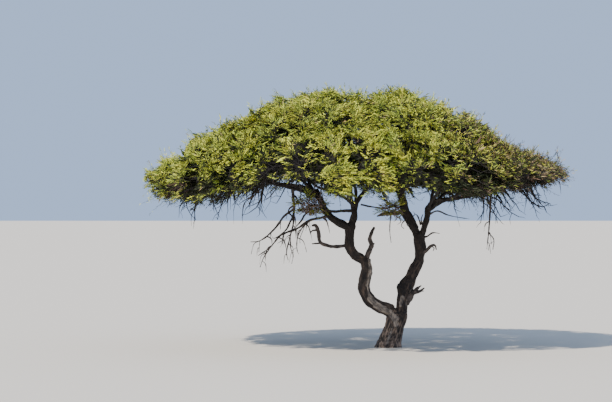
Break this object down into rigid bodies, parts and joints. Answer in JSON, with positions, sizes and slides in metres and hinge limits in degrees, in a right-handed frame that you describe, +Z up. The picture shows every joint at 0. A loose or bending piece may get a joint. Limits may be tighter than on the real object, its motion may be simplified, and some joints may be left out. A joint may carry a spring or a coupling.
{
  "type": "spreading acacia tree with low fork",
  "caption": "Old umbrella-shaped acacia tree that forks low into winding limbs, with a wide domed crown of feathery foliage and bare dead twigs under it.",
  "frame": {"origin": "on the flat cut at ground level, under the middle of the trunk's foot", "axes": "+Z up the trunk, +X to the right and -Y towards the viewer of the picture, with the long way of the crown along X"},
  "size_m": [10.5796, 8.6545, 6.4741],
  "materials": {
    "bark": "rough dark grey-brown fissured bark",
    "dead_wood": "weathered grey-brown dead wood, bark partly gone",
    "foliage": "fine matt yellow-green leaflets"
  },
  "bodies": {
    "root": {"bough_clump_left": "bark", "bough_clump_middle": "bark", "bough_mid_back": "bark", "bough_mid_back_left": "bark", "bough_mid_front": "bark", "bough_mid_front_right": "bark", "bough_mid_left": "bark", "bough_mid_right": "bark", "bough_rim_back_left": "bark", "bough_rim_back_left_middle": "bark", "bough_rim_back_right": "bark", "bough_rim_back_right_middle": "bark", "bough_rim_front_left": "bark", "bough_rim_front_left_middle": "bark", "bough_rim_front_right": "bark", "bough_rim_front_right_middle": "bark", "bough_rim_left": "bark", "bough_rim_right": "bark", "bough_top_back": "bark", "bough_top_front": "bark", "bough_top_left": "bark", "bough_top_right": "bark", "dead_bough_hanging": "dead_wood", "dead_bough_left": "dead_wood", "dead_bough_right": "dead_wood", "foliage_clump_left": "foliage", "foliage_clump_middle": "foliage", "foliage_mid_back": "foliage", "foliage_mid_back_left": "foliage", "foliage_mid_front": "foliage", "foliage_mid_front_right": "foliage", "foliage_mid_left": "foliage", "foliage_mid_right": "foliage", "foliage_rim_back_left": "foliage", "foliage_rim_back_left_middle": "foliage", "foliage_rim_back_right": "foliage", "foliage_rim_back_right_middle": "foliage", "foliage_rim_front_left": "foliage", "foliage_rim_front_left_middle": "foliage", "foliage_rim_front_right": "foliage", "foliage_rim_front_right_middle": "foliage", "foliage_rim_left": "foliage", "foliage_rim_right": "foliage", "foliage_top_back": "foliage", "foliage_top_front": "foliage", "foliage_top_left": "foliage", "foliage_top_right": "foliage", "fork_centre": "bark", "fork_left": "bark", "fork_middle": "bark", "fork_right": "bark", "hook_left": "dead_wood", "limb_left_lower": "bark", "limb_left_upper": "bark", "limb_right_lower": "bark", "snag_left": "dead_wood", "stub_hook": "dead_wood", "stub_middle": "dead_wood", "stub_right": "dead_wood", "trunk": "bark"}
  },
  "joints": []
}
